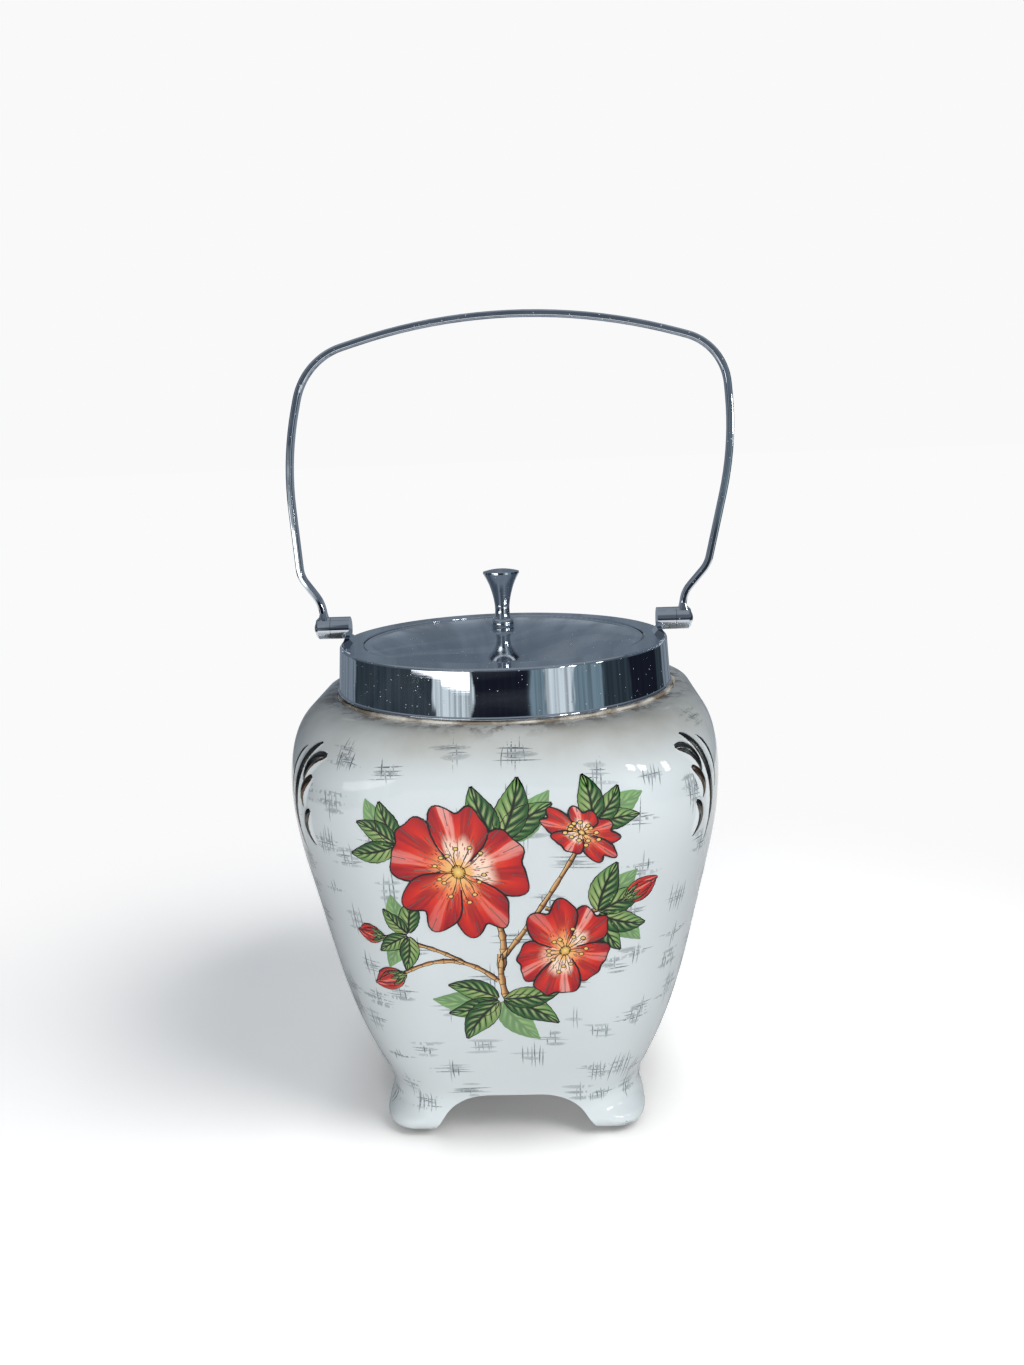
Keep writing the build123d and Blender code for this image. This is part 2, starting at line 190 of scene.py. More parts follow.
def white_ware(tree):
    """Colour of the bare ware under its glaze.

    Cool white with clouds of 36 mm where the glaze pooled, and iron specks.  The
    shoulder is greyer in smudges of 22 mm towards the mount's foot and stained brown in
    blots of 6 mm right under the mount, but it is clean inside the neck.
    """
    where = node(tree, "TexCoord", out="Object")
    height = node(tree, "SeparateXYZ", where, out="Z")
    level = node(tree, "VectorMath", where, (1.0, 1.0, 0.0), operation="MULTIPLY")
    radius = node(tree, "VectorMath", level, operation="LENGTH", out="Value")
    cloud = node(tree, "TexNoise", where, Scale=28.0, Detail=3.0)
    white = node(tree, "Mix", Factor=cloud, A=WARE, B=WARE_CLOUDED, **BLEND)
    smudge = node(tree, "TexNoise", where, Scale=45.0, Detail=6.0)
    patchy = node(tree, "MapRange", smudge, 0.25, 0.7, 0.35, 0.9)
    high = node(tree, "MapRange", height, COLLAR_FOOT - GREYING_DOWN, COLLAR_FOOT, **SMOOTH)
    outside = node(tree, "Math", radius, COLLAR_RADIUS - NECK_MARGIN, operation="GREATER_THAN")
    high = node(tree, "Math", high, outside, **PRODUCT)
    # The shoulder turns greyer in smudges towards the mount's foot.
    greyed = node(tree, "Math", high, patchy, **PRODUCT)
    white = node(tree, "Mix", Factor=greyed, A=white, B="#9a978d", **BLEND)
    brown = node(tree, "TexNoise", where, Scale=170.0, Detail=9.0, Roughness=0.65)
    dark_share = node(tree, "MapRange", brown, 0.46, 0.58, 0.0, 0.95, **SMOOTH)
    edge = node(tree, "MapRange", radius, COLLAR_RADIUS + STAIN_OUT, COLLAR_RADIUS, **SMOOTH)
    above = node(tree, "Math", height, COLLAR_FOOT - STAIN_DOWN, operation="GREATER_THAN")
    above = node(tree, "Math", above, outside, **PRODUCT)
    edge = node(tree, "Math", edge, above, **PRODUCT)
    stained = node(tree, "Math", edge, dark_share, **PRODUCT)
    white = node(tree, "Mix", Factor=stained, A=white, B="#50402f", **BLEND)
    # Specks about 0.3 mm across in some of 5 mm cells.
    near = node(tree, "TexVoronoi", where, Scale=1 / (5 * MM), out="Distance")
    spot = node(tree, "MapRange", near, 0.025, 0.035, 0.8, 0.0)
    chosen = node(tree, "Math", near.node.outputs["Color"], 0.7, operation="GREATER_THAN")
    speck = node(tree, "Math", chosen, spot, **PRODUCT)
    return node(tree, "Mix", Factor=speck, A=white, B="#6d6152", **BLEND)


def under_glaze(name, paint):
    """Clear lead glaze over coloured ware: glossy, with the soft swell of a dipped coat.

    The swell's waves are 10 mm long.  paint(tree, white) gives the colour seen through it.
    """
    made, tree = new_material(name)
    where = node(tree, "TexCoord", out="Object")
    swell = node(tree, "TexNoise", where, Scale=95.0, Detail=1.5)
    shader = node(
        tree,
        "BsdfPrincipled",
        Base_Color=paint(tree, white_ware(tree)),
        Roughness=0.06,
        IOR=1.5,
        Normal=node(tree, "Bump", Strength=0.25, Distance=0.3 * MM, Height=swell),
    )
    node(tree, "OutputMaterial", shader)
    return made


def bare_ware(tree, white):
    """Nothing under the glaze but the ware."""
    return white


def drawn_over(tree):
    """Sockets of a drawing's own map: share along it 0..1, across it -1..1, and its tone."""
    places = node(tree, "UVMap", uv_map="drawing")
    along = node(tree, "SeparateXYZ", places)
    tone = node(tree, "Attribute", attribute_name="tone", out="Fac")
    return places, along, along.node.outputs["Y"], tone


def hatching(tree, white):
    """Grey-blue transfer ink laid thin and dry, so that the ware shows in grains of 0.9 mm."""
    where = node(tree, "TexCoord", out="Object")
    _, _, _, tone = drawn_over(tree)
    dry = node(tree, "TexNoise", where, Scale=1 / (0.9 * MM), Detail=2.0)
    dry = node(tree, "MapRange", dry, 0.3, 0.55, 0.6, 1.0)
    cover = node(tree, "Math", tone, dry, **PRODUCT)
    return node(tree, "Mix", Factor=cover, A=white, B="#2b404d", **BLEND)


def rose_petals(tree, white):
    """Litho colours shaded by hand: peach throat, coral, red, and crimson in the folds.

    Folds run out along each petal where a sine of its breadth, bent by streaks, is low,
    with a pink bloom on their crests.  Some petals are pale and stippled at the throat.
    """
    places, along, across, tone = drawn_over(tree)
    colour = node(
        tree,
        "ValToRGB",
        along,
        stops=[
            (0.0, "#d89a3e"),
            (0.14, "#f2bd74"),
            (0.3, "#f0975f"),
            (0.48, "#e24a2a"),
            (0.76, "#d5291a"),
            (1.0, "#b3141a"),
        ],
    )
    drawn = node(tree, "Mapping", places, Scale=(1.3, 7.0, 1.0))
    streak = node(tree, "TexNoise", drawn, Scale=1.0, Detail=4.0)
    bent = node(tree, "Math", streak, 6.0, **PRODUCT)
    fold = node(tree, "Math", across, 7.0, bent, operation="MULTIPLY_ADD")
    fold = node(tree, "Math", fold, operation="SINE")
    outer = node(tree, "MapRange", along, 0.3, 0.6, **SMOOTH)
    hollow = node(tree, "MapRange", fold, -0.1, -0.95, 0.0, 0.7, **SMOOTH)
    hollow = node(tree, "Math", hollow, outer, **PRODUCT)
    colour = node(tree, "Mix", Factor=hollow, A=colour, B="#8a0c20", **BLEND)
    under = node(tree, "MapRange", across, 0.4, 0.95, 0.0, 0.8, **SMOOTH)
    under = node(tree, "Math", under, outer, **PRODUCT)
    colour = node(tree, "Mix", Factor=under, A=colour, B="#6f0a1c", **BLEND)
    crest = node(tree, "MapRange", fold, 0.3, 0.95, 0.0, 0.75, **SMOOTH)
    lit = node(tree, "MapRange", across, 0.25, -0.3, **SMOOTH)
    crest = node(tree, "Math", crest, lit, **PRODUCT)
    crest = node(tree, "Math", crest, outer, **PRODUCT)
    crest = node(tree, "Math", crest, tone, **PRODUCT)
    colour = node(tree, "Mix", Factor=crest, A=colour, B="#f4b3a8", **BLEND)
    dark = node(tree, "MapRange", streak, 0.42, 0.3, 0.0, 0.7)
    colour = node(tree, "Mix", Factor=dark, A=colour, B="#6a0710", **BLEND)
    # A pale throat on the petals of high tone, with a ring of stipple.
    inner = node(tree, "MapRange", along, 0.62, 0.4, **SMOOTH)
    pale = node(tree, "MapRange", tone, 0.62, 0.7, 0.0, 0.9)
    pale = node(tree, "Math", pale, inner, **PRODUCT)
    ring = node(tree, "MapRange", along, 0.16, 0.28, **SMOOTH)
    pale = node(tree, "Math", pale, ring, **PRODUCT)
    colour = node(tree, "Mix", Factor=pale, A=colour, B="#fbe2cc", **BLEND)
    dotted = node(tree, "Mapping", places, Scale=(11.0, 8.0, 1.0))
    dots = node(tree, "TexVoronoi", dotted, Scale=1.0)
    dots = node(tree, "MapRange", dots, 0.24, 0.32, 0.9, 0.0)
    stipple = node(tree, "Math", dots, ring, **PRODUCT)
    stipple = node(tree, "Math", stipple, inner, **PRODUCT)
    return node(tree, "Mix", Factor=stipple, A=colour, B="#a3190f", **BLEND)


def leaf_green(tree, white):
    """Greens of a leaf: one half lit and one shaded, dark slanting veins, buff lights between.

    A leaf of low tone is a paler one behind the others, with fainter veins.
    """
    _, along, across, tone = drawn_over(tree)
    side = node(tree, "MapRange", across, -0.25, 0.25, **SMOOTH)
    light = node(tree, "Mix", Factor=along, A="#94a865", B="#3f7d3a", **BLEND)
    dark = node(tree, "Mix", Factor=along, A="#2b5e29", B="#174a22", **BLEND)
    colour = node(tree, "Mix", Factor=side, A=light, B=dark, **BLEND)
    depth = node(tree, "Math", across, operation="ABSOLUTE")
    slant = node(tree, "Math", depth, -0.3, along, operation="MULTIPLY_ADD")
    wave = node(tree, "Math", slant, 2 * math.pi * 6.0, **PRODUCT)
    wave = node(tree, "Math", wave, operation="SINE")
    between = node(tree, "MapRange", wave, 0.1, -0.9, **SMOOTH)
    inward = node(tree, "MapRange", depth, 0.85, 0.3, 0.0, 0.6)
    glow = node(tree, "Math", between, inward, **PRODUCT)
    colour = node(tree, "Mix", Factor=glow, A=colour, B="#b3bf86", **BLEND)
    vein = node(tree, "MapRange", wave, 0.6, 0.95, 0.0, 0.95, **SMOOTH)
    short = node(tree, "MapRange", depth, 1.0, 0.65)
    vein = node(tree, "Math", vein, short, **PRODUCT)
    midrib = node(tree, "MapRange", depth, 0.16, 0.06)
    vein = node(tree, "Math", vein, midrib, operation="MAXIMUM")
    colour = node(tree, "Mix", Factor=vein, A=colour, B="#0d2513", **BLEND)
    behind = node(tree, "MapRange", tone, 0.5, 0.2, 0.0, 0.55)
    return node(tree, "Mix", Factor=behind, A=colour, B="#8db67e", **BLEND)


def twig_tan(tree, white):
    """Tan wood, darker on the side away from the light and in rings like old leaf scars."""
    _, along, across, _ = drawn_over(tree)
    side = node(tree, "MapRange", across, -0.6, 0.7, **SMOOTH)
    wood = node(tree, "Mix", Factor=side, A="#dcae74", B="#7a4a26", **BLEND)
    wave = node(tree, "Math", along, 2 * math.pi * 9.0, **PRODUCT)
    wave = node(tree, "Math", wave, operation="SINE")
    scar = node(tree, "MapRange", wave, 0.9, 0.98, 0.0, 0.7)
    return node(tree, "Mix", Factor=scar, A=wood, B="#54301a", **BLEND)


def key_line(tree, white):
    """Dark brown key line of the transfer."""
    _, _, _, tone = drawn_over(tree)
    return node(tree, "Mix", Factor=tone, A=white, B="#120705", **BLEND)


def stamen_gold(tree, white):
    """Yellow heart of a blossom."""
    _, along, _, _ = drawn_over(tree)
    return node(tree, "Mix", Factor=along, A="#c88d2c", B="#f0d283", **BLEND)


def platinum_lustre():
    """Platinum lustre brushed over the glaze: a silver mirror, streaked along the brush.

    Along the brush it is streaked silver and near-black, a painted reflection of bright
    panes and the dark room, and it has worn to a brownish film at its edges, in spots of a
    millimetre.  Its tone is how much of it is left.
    """
    made, tree = new_material("platinum_lustre")
    where = node(tree, "TexCoord", out="Object")
    places, _, across, tone = drawn_over(tree)
    drawn = node(tree, "Mapping", places, Scale=(2.0, 5.0, 1.0))
    streak = node(tree, "TexNoise", drawn, Scale=1.0, Detail=3.0)
    # Silver and near-black streaks along the brush: painted reflection of bright panes and the dark
    # room.
    dark_share = node(tree, "MapRange", streak, 0.28, 0.52, **SMOOTH)
    metal = node(tree, "Mix", Factor=dark_share, A="#b4b2ad", B="#2c2e31", **BLEND)
    worn = node(tree, "TexNoise", where, Scale=900.0, Detail=3.0)
    depth = node(tree, "Math", across, operation="ABSOLUTE")
    edge = node(tree, "MapRange", depth, 0.6, 1.0, **SMOOTH)
    thin = node(tree, "MapRange", worn, 0.35, 0.65)
    edge = node(tree, "Math", edge, thin, **PRODUCT)
    metal = node(tree, "Mix", Factor=edge, A=metal, B="#6a5a48", **BLEND)
    shader = node(
        tree,
        "BsdfPrincipled",
        Base_Color=node(tree, "Mix", Factor=tone, A="#6f5438", B=metal, **BLEND),
        Metallic=0.9,
        Roughness=node(tree, "MapRange", worn, 0.3, 0.7, 0.12, 0.28),
    )
    node(tree, "OutputMaterial", shader)
    return made


# ------------------------------------------------------------- laying on the pot
OUTSIDE = 90.0  # millimetres from the axis, clear of the pot all round


def on_pot(points):
    """Nearest places on the pot's skin to an array of points, and its outward normals there.

    A Shrinkwrap finds each place on the skin and again a millimetre above it; the step
    between the two is the normal.
    """
    spots = bpy.data.meshes.new("probe")
    spots.from_pydata(points.reshape(-1, 3), [], [])
    probe = bpy.data.objects.new("probe", spots)
    bpy.context.scene.collection.objects.link(probe)
    wrap = probe.modifiers.new("seat", "SHRINKWRAP")
    wrap.target, wrap.wrap_mode = nodes["jar_body"], "ABOVE_SURFACE"
    found = []
    for offset in (0.0, MM):
        wrap.offset = offset
        seated = probe.evaluated_get(bpy.context.evaluated_depsgraph_get()).data
        places = np.empty(points.size, np.float32)
        seated.vertices.foreach_get("co", places)
        found.append(places.reshape(points.shape).astype(float))
    bpy.data.objects.remove(probe)
    bpy.data.meshes.remove(spots)
    return found[0], (found[1] - found[0]) / MM


def wrapped(centre, normal, drawing, lift):
    """Points of a flat drawing laid on the skin, with their lift in millimetres along its normals.

    The drawing is right and up in the plane that touches the skin at the centre; each
    point then goes to the nearest place on the skin.
    """
    right = np.cross((0.0, 0.0, 1.0), normal)
    right /= np.linalg.norm(right, axis=-1, keepdims=True)
    up = np.cross(normal, right)
    spread = (slice(None),) + (None,) * (drawing.ndim - 2) if np.ndim(centre) > 1 else ()
    flat = centre[spread] + MM * (drawing[..., :1] * right[spread] + drawing[..., 1:] * up[spread])
    places, normals = on_pot(flat)
    return places + MM * np.asarray(lift)[..., None] * normals


def drawn_piece(name, material, sheets):
    """One mesh of many grids of points, riding on the jar.

    Each sheet is (points, along, across, tone): points of shape (..., rows, cols, 3) and
    what its colours follow, spread to that shape.  Quads wind outwards where a grid's
    columns go to the right of its rows' way.
    """
    corners, faces, maps, tones = [], [], [], []
    first = 0
    for points, along, across, tone in sheets:
        rows, cols = points.shape[-3:-1]
        count = points[..., 0].size // (rows * cols)
        corner = np.arange(rows - 1)[:, None] * cols + np.arange(cols - 1)
        quad = np.stack([corner, corner + 1, corner + cols + 1, corner + cols], -1).reshape(-1, 4)
        faces.append((first + np.arange(count)[:, None, None] * rows * cols + quad).reshape(-1, 4))
        corners.append(points.reshape(-1, 3))
        shape = points.shape[:-1]
        spread = [np.broadcast_to(values, shape) for values in (along, across)]
        maps.append(np.stack(spread, -1).reshape(-1, 2))
        tones.append(np.broadcast_to(tone, shape).ravel())
        first += count * rows * cols
    faces, maps = np.concatenate(faces), np.concatenate(maps)
    mesh = bpy.data.meshes.new(name)
    mesh.from_pydata(np.concatenate(corners), [], faces)
    mesh.uv_layers.new(name="drawing").uv.foreach_set("vector", maps[faces.ravel()].ravel())
    mesh.attributes.new("tone", "FLOAT", "POINT").data.foreach_set("value", np.concatenate(tones))
    mesh.polygons.foreach_set("use_smooth", np.ones(len(faces), bool))
    mesh.materials.append(material)
    piece = bpy.data.objects.new(name, mesh)
    bpy.context.scene.collection.objects.link(piece)
    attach(piece, "jar")
    return piece


def ribbon(path, half_width, cols=2):
    """A line with breadth: each point of the path moved square to it by -1..1 half widths."""
    along = np.gradient(path, axis=-2)
    square = np.stack([along[..., 1], -along[..., 0]], -1)
    square /= np.linalg.norm(square, axis=-1, keepdims=True)
    across = np.linspace(-1, 1, cols)[:, None]
    width = np.broadcast_to(half_width, path.shape[:-1])[..., None, None]
    return path[..., None, :] + square[..., None, :] * across * width


def curved(points, count=20):
    """Bezier curve of three points: (1-s)^2 a + 2 s (1-s) b + s^2 c."""
    s = np.linspace(0, 1, count)[:, None]
    a, b, c = np.array(points, float)
    return (1 - s) ** 2 * a + 2 * s * (1 - s) * b + s**2 * c


# --------------------------------------------------------------- hatched ground
# All in millimetres.
HATCH_STEP = 18.0  # between groups of a row
HATCH_ROW = HATCH_STEP * 0.7  # between rows
HATCH_LOW, HATCH_HIGH = 4.0, 143.0
HATCH_SHAKE = 0.32  # how far a group may stand off its place, as a share of the step
HATCH_SHIFT = 2.2  # how far a group's marks may stand off its middle
HATCH_SMALLEST, HATCH_LARGEST = 0.5, 1.15  # shares of its marks' full lengths
MARK_SLIP, MARK_DRIFT, MARK_LEAN = 0.9, 0.18, 0.15  # spread along, across, and of lean and bow
HATCH_LIFT, HATCH_LAYER = 0.008, 0.006  # of the lowest marks, and of each kind over the last
GIRTH_RADIUS, BROADEST_RADIUS = 62.0, 68.0  # of the pot: on average, and at its broadest
SEATINGS = 12
# Marks of a group: whether level, how many, half length, half width, tone and spacing.
HATCH_MARKS = [
    (True, (1, 4), (3.0, 6.5), (0.5, 1.2), (0.3, 0.6), 2.6),
    (True, (0, 5), (3.0, 7.4), (0.19, 0.34), (0.6, 1.0), 1.2),
    (False, (1, 7), (2.8, 6.6), (0.18, 0.32), (0.6, 1.0), 1.2),
]


def hatched_ground():
    """Groups of crossed pen strokes all round the pot, as on woven cloth.

    Groups stand on a shaken lattice of azimuth and height.  Each has soft level smears
    under level and upright strokes, side by side, which cross as an L, T or plus.  A
    mark is a thin ribbon that swells and fades along it as sin(pi s)^0.4.
    """
    per_row = round(2 * math.pi * GIRTH_RADIUS / HATCH_STEP)
    heights = np.arange(HATCH_LOW, HATCH_HIGH, HATCH_ROW)
    row, column = [a.ravel() for a in np.meshgrid(np.arange(len(heights)), np.arange(per_row))]
    shake = random.uniform(-HATCH_SHAKE, HATCH_SHAKE, (2, row.size))
    turn = (column + 0.5 * (row % 2) + shake[0]) * 2 * math.pi / per_row
    height = (heights[row] + shake[1] * HATCH_STEP) * MM
    centre = OUTSIDE * MM * np.stack([np.sin(turn), -np.cos(turn), 0 * turn], -1)
    # The nearest place moves up a leaning wall, so it is asked for again at its height.
    for _ in range(SEATINGS):
        centre[:, 2] = height
        centre, normal = on_pot(centre)
    # Fewer stand lower down, where the pot is narrower, and none on the upper shoulder or
    # where the skin isn't within 2 mm of their height.
    keep = random.random(row.size) < np.hypot(*centre[:, :2].T) / (BROADEST_RADIUS * MM)
    keep &= (np.abs(centre[:, 2] - height) < 2 * MM) & (normal[:, 2] < 0.9)
    centre, normal = centre[keep], normal[keep]
    shift = random.uniform(-HATCH_SHIFT, HATCH_SHIFT, (len(centre), 2))

    s = np.linspace(0, 1, 7)
    fade = np.sin(math.pi * np.clip(s, 0.02, 0.98)) ** 0.4
    sheets = []
    for layer, (level, many, reach, breadth, tone, gap) in enumerate(HATCH_MARKS):
        counts = random.integers(*many, len(centre))
        group = np.repeat(np.arange(len(centre)), counts)
        rank = np.arange(len(group)) - np.repeat(np.cumsum(counts) - counts, counts)
        scale = random.uniform(HATCH_SMALLEST, HATCH_LARGEST, len(centre))[group]
        half_length = random.uniform(*reach, len(group)) * scale
        slip = random.normal(0, MARK_SLIP, len(group))
        run = slip[:, None] + (2 * s - 1) * half_length[:, None]
        aside = (rank - (counts[group] - 1) / 2) * gap + random.normal(0, MARK_DRIFT, len(group))
        lean, bow = random.normal(0, MARK_LEAN, (2, len(group), 1))
        aside = aside[:, None] + lean * (2 * s - 1) + bow * np.sin(math.pi * s)
        path = np.stack([run, aside] if level else [aside, run], -1) + shift[group][:, None]
        half_width = random.uniform(*breadth, len(group))[:, None] * fade
        t = np.linspace(-1, 1, 5)
        drawing = ribbon(path, half_width, len(t))
        lift = np.full(drawing.shape[:-1], HATCH_LIFT + HATCH_LAYER * layer)
        points = wrapped(centre[group], normal[group], drawing, lift)
        ink = random.uniform(*tone, len(group))[:, None, None] * fade[:, None] * (1 - t**4)
        sheets.append((points, s[:, None], t, ink))
    drawn_piece("hatched_ground", under_glaze("dry_grey_transfer_ink", hatching), sheets)


# ------------------------------------------------------------- squeezed plaster
BEAD_STEPS, SECTION_STEPS = 360, 10
BEAD_HALF, BEAD_SWELL = 0.6, 0.2  # millimetres: its mean half thickness, and what that varies by
BEAD_THINNEST, BEAD_THICKEST = 0.3, 1.2
BEAD_OUT, BEAD_SWAY, BEAD_DOWN = 0.1, 0.3, 0.35  # its middle from the foot of the mount


def squeezed_plaster():
    """The uneven bead of plaster that came out under the mount when it was pressed home.

    A ring round +Z whose middle, radius and section wander with the azimuth as sums of
    sines; its section is a circle of that radius.
    """
    turn = np.linspace(0, 2 * math.pi, BEAD_STEPS, endpoint=False)[:, None]
    around = np.linspace(0, 2 * math.pi, SECTION_STEPS, endpoint=False)
    waves = np.arange(3, 40)
    wander = [
        (np.sin(waves * turn + random.uniform(0, 2 * math.pi, waves.size)) / waves**0.7).sum(1)
        for _ in range(2)
    ]
    section = BEAD_HALF + BEAD_SWELL * wander[0][:, None]
    section = section.clip(BEAD_THINNEST, BEAD_THICKEST) * MM
    middle = COLLAR_RADIUS + (BEAD_OUT + BEAD_SWAY * wander[1][:, None]) * MM
    radius = middle + section * np.cos(around)
    height = COLLAR_FOOT - BEAD_DOWN * MM + section * np.sin(around)
    points = np.stack([radius * np.sin(turn), -radius * np.cos(turn), height + 0 * turn], -1)
    rows, cols = points.shape[:2]
    i, j = np.meshgrid(np.arange(rows), np.arange(cols), indexing="ij")
    i_next, j_next = (i + 1) % rows, (j + 1) % cols
    quads = np.stack([i * cols + j, i_next * cols + j, i_next * cols + j_next, i * cols + j_next], -1)
    mesh = bpy.data.meshes.new("squeezed_plaster")
    mesh.from_pydata(points.reshape(-1, 3), [], quads.reshape(-1, 4))
    mesh.polygons.foreach_set("use_smooth", np.ones(len(mesh.polygons), bool))
    mesh.materials.append(plaster_of_paris())
    bead = bpy.data.objects.new("squeezed_plaster", mesh)
    bpy.context.scene.collection.objects.link(bead)
    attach(bead, "jar")


# ------------------------------------------------------------- corner ornaments
# Brush strokes of the ornament on a right-hand corner, as seen from outside: three
# points each, right of and above the corner's middle, the half width, and how much of
# the lustre is left.
CORNER_HEIGHT = 125.0
CORNER_STROKES = [
    ((1.0, 19.5), (12.0, 7.0), (8.0, -19.0), 1.45, 1.0),
    ((8.5, 16.5), (14.0, 10.0), (14.5, -3.0), 0.6, 0.8),
    ((-4.0, 14.5), (2.5, 13.5), (5.0, 3.5), 1.9, 1.0),
    ((0.5, 6.5), (6.0, 2.5), (4.5, -4.0), 1.35, 0.6),
    ((1.0, -4.0), (5.5, -8.0), (0.0, -15.5), 1.3, 1.0),
]
# The moulded scroll under a stroke of full breadth, and the lustre's lift over it.
FULL_STROKE = 1.5
SCROLL_HALF, SCROLL_RISE = 2.8, 1.0
SCROLL_SUNK = 0.02  # how far a scroll's edges lie under the skin
LUSTRE_RISE = 0.06


def corner_ornaments():
    """Low moulded scrolls on the four corners, each with a brushed stroke along its crest.

    A scroll's section is (1 - t^2)^2 of its rise, and along it that rise goes as
    sin(pi s)^0.7; a stroke follows the same crest, a little higher, with t taken in
    scroll half widths, and its own breadth goes as sin(pi s^0.62)^0.6.
    """
    scrolls, lustre = [], []
    s, t = np.linspace(0, 1, 22), np.linspace(-1, 1, 9)
    for quarter in range(4):
        turn = math.radians(45 + 90 * quarter)
        hand = 1 if quarter % 2 == 0 else -1
        place = np.array([math.sin(turn) * OUTSIDE, -math.cos(turn) * OUTSIDE, CORNER_HEIGHT]) * MM
        centre, normal = on_pot(place)
        for *points, half_width, left in CORNER_STROKES:
            path = curved(np.array(points) * (hand, 1), len(s))
            grown = np.sin(math.pi * s) ** 0.7
            share = half_width / FULL_STROKE
            scroll_half = SCROLL_HALF * share**0.4 * (0.5 + 0.5 * grown)
            rise = SCROLL_RISE * share * grown[:, None]
            drawing = ribbon(path, scroll_half, len(t))
            lift = rise * (1 - t**2) ** 2 - SCROLL_SUNK * (np.abs(t) > 0.99)
            scrolls.append((wrapped(centre, normal, drawing, lift), s[:, None], t, 0.0))
            brush = half_width * np.sin(math.pi * np.clip(s, 0.01, 0.985) ** 0.62) ** 0.6
            across = t * (brush / scroll_half)[:, None]
            drawing = ribbon(path, brush, len(t))
            lift = rise * (1 - across**2) ** 2 + LUSTRE_RISE * (1 - 0.7 * t**2)
            lustre.append((wrapped(centre, normal, drawing, lift), s[:, None], t, left))
    drawn_piece("corner_scrolls", under_glaze("glazed_scroll", bare_ware), scrolls)
    drawn_piece("corner_lustre", platinum_lustre(), lustre)


# ---------------------------------------------------------------- printed spray
# Dog roses in millimetres right of and above the middle of the front: each blossom's
# centre, radius and turn in degrees, the share of its breadth that its tipping leaves,
# and the way it is tipped in degrees.
SPRAY_HEIGHT = 84.0
BLOSSOMS = [
    ((-13.0, 15.0), 23.5, 8.0, 0.84, 20.0),
    ((17.5, -13.0), 19.0, 44.0, 0.78, -35.0),
    ((23.0, 27.0), 12.0, 10.0, 0.66, 60.0),
]
# Buds: where each springs from, its way in degrees, and its length.
BUDS = [((-32.0, -21.5), 205.0, 13.0), ((36.0, 4.5), 25.0, 12.0), ((-38.0, -8.0), 178.0, 10.0)]
# Whorls of leaves: where they spring from, the way of each leaf in degrees, and length.
WHORLS = [
    ((-2.5, -31.0), (160, 198, 236, 330, 8), 19.0),
    ((27.0, 0.0), (-62, -20, 22, 70), 17.0),
    ((-29.0, -6.5), (80, 130, 215, 262), 13.5),
    ((-1.0, 24.0), (38, 74, 112), 20.0),
    ((-30.0, 24.0), (110, 150, 192), 16.0),
    ((26.0, 29.0), (12, 58, 100), 17.0),
]
# Twigs: three points of each one's curve and its half width.
TWIGS = [
    ((6.0, -44.0), (-3.0, -34.0), (-2.0, -14.0), 0.95),
    ((-2.0, -20.0), (2.0, -4.0), (-8.0, 8.0), 0.85),
    ((-2.0, -16.0), (8.0, -4.0), (22.0, 22.0), 0.65),
    ((12.0, 2.0), (24.0, -2.0), (36.0, 4.0), 0.55),
    ((-3.0, -24.0), (-16.0, -10.0), (-32.0, -21.0), 0.6),
    ((-12.5, -17.3), (-24.0, -9.0), (-37.5, -7.8), 0.5),
]
PETAL_SPREAD = math.radians(43)
PETAL_NOTCH, PETAL_RUFFLE = 0.13, 0.05  # shares of a petal's reach
STAMENS = 13
PETAL_KEY = 0.3  # half width of the key line round a petal
FIRST_LAYER, LAYER = 0.03, 0.004  # lift of the first print, and of most over the last
KEY_RISE = 0.012  # lift of a key line over what it bounds
BOSS_LAYER, STAMENS_LAYER = 0.006, 0.01  # what a boss and its stamens lift the next print by
ANTHER_RISE, ANTHER_KEY_RISE = 0.016, 0.022  # lift of an anther and its key line over a hair


def pointing(angle):
    """The unit step of a drawing at an angle from its right."""
    return np.array([math.cos(angle), math.sin(angle)])


def square_to(way):
    """A step of a drawing turned by a quarter to its right."""
    return np.array([way[1], -way[0]])


def petal_fans(centre, radius, turn, tip, tipped):
    """Grids of a dog rose: five notched petals in a ring, each a fan about the centre.

    A petal's reach at share t of its spread is L (1 - |t|^3.2)^0.45, notched by a bell
    at its middle and ruffled by a sine; the whole ring is then flattened across one way.
    """
    r, t = np.linspace(0.02, 1, 15)[:, None], np.linspace(-0.985, 0.985, 29)
    axis = pointing(math.radians(tipped))
    squash = np.eye(2) - (1 - tip) * np.outer(axis, axis)
    petals = []
    for k in (0, 2, 4, 1, 3):
        heading = math.radians(turn + 72 * k + random.uniform(-6, 6))
        reach = radius * (1 - np.abs(t) ** 3.2) ** 0.45 * random.uniform(0.88, 1.06)
        notch, ruffle = np.exp(-((t / 0.16) ** 2)), np.sin(9 * t + random.uniform(0, 6))
        reach = reach * (1 + PETAL_RUFFLE * ruffle - PETAL_NOTCH * notch)
        angle = heading - t * PETAL_SPREAD * (1 + 0.12 * (r - 0.5))
        fan = np.stack([r * reach * np.cos(angle), r * reach * np.sin(angle)], -1)
        petals.append(fan @ squash.T + centre)
    return petals, r, t, squash


